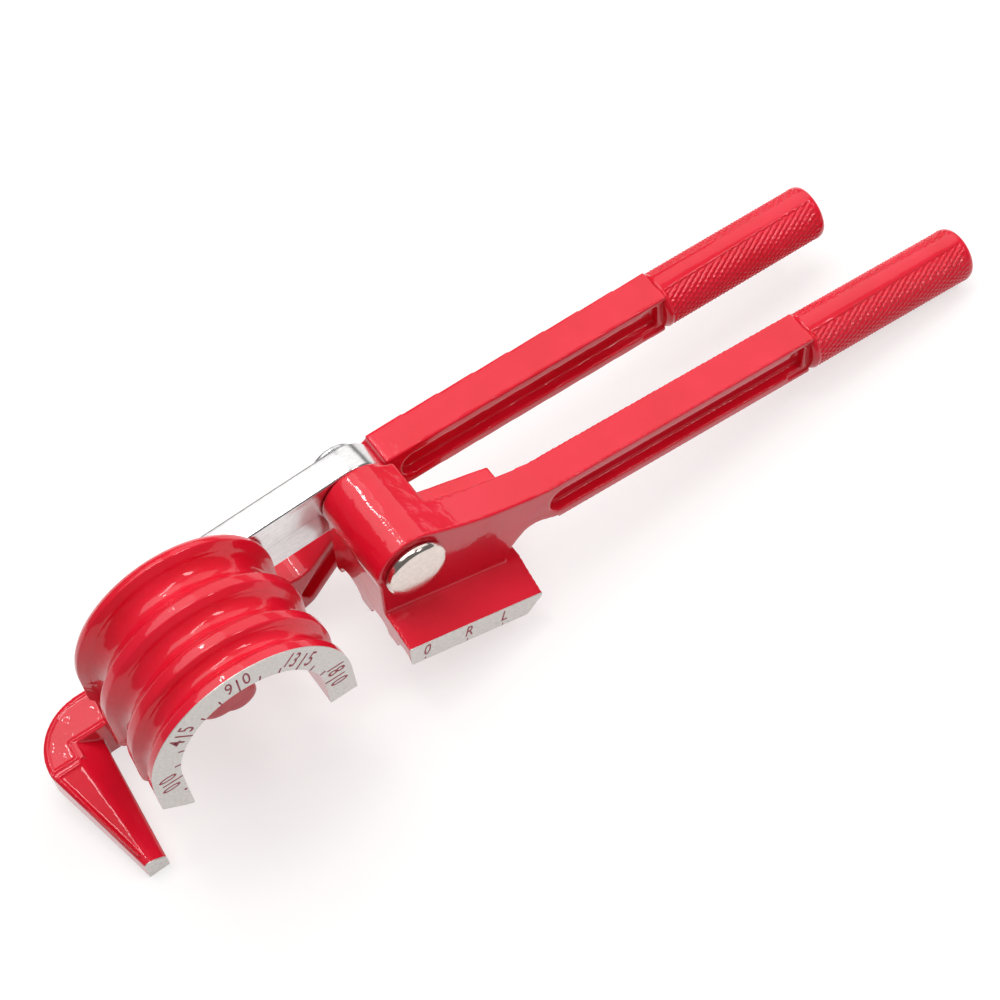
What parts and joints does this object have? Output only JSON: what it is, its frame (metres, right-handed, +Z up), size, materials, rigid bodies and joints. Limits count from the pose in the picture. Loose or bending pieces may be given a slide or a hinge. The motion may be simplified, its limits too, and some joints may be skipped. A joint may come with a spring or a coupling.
{
  "type": "hand tube bender",
  "caption": "Red cast hand tube bender: grooved half-round drum with a degree scale, swinging link, shoe handle and hook latch.",
  "frame": {"origin": "middle of the bounding box on the bench it lies on", "axes": "+X along the handles from the drum to the grips, +Y from the scale face to the back, +Z up from the bench"},
  "size_m": [0.3086, 0.0624, 0.0785],
  "materials": {
    "red_paint": "glossy",
    "satin_link": "satin",
    "pin_chrome": "polished",
    "plated_steel": "bright zinc plate"
  },
  "bodies": {
    "main_casting": {"forming_drum": "red_paint", "drum_back_plate": "red_paint", "main_handle_arm": "red_paint", "main_handle_shank": "red_paint", "main_grip": "red_paint", "centre_pin": "plated_steel", "centre_washer": "plated_steel", "centre_retaining_ring": "plated_steel", "latch_pin": "plated_steel", "latch_washer": "plated_steel", "latch_retaining_ring": "plated_steel"},
    "link": {"link_bar": "satin_link", "pivot_pin": "pin_chrome", "pivot_washer": "plated_steel", "pivot_retaining_ring": "plated_steel"},
    "shoe_handle": {"shoe_hub": "red_paint", "forming_shoe": "red_paint", "shoe_handle_shank": "red_paint", "shoe_grip": "red_paint"},
    "latch": {"latch_arm": "red_paint", "latch_finger": "red_paint"}
  },
  "joints": [
    {"name": "link_swing", "type": "hinge", "parent": "main_casting", "child": "link", "pos_m": [-0.10234, 0.01695, 0.048], "axis": [0, 1, 0], "range_deg": [-178, 0]},
    {"name": "shoe_handle_pivot", "type": "hinge", "parent": "link", "child": "shoe_handle", "pos_m": [-0.04234, -0.00215, 0.04765], "axis": [0, 1, 0], "range_deg": [-90, 69]},
    {"name": "latch_pivot", "type": "hinge", "parent": "main_casting", "child": "latch", "pos_m": [-0.10384, 0.0195, 0.02305], "axis": [0, 1, 0], "range_deg": [0, 25]}
  ]
}
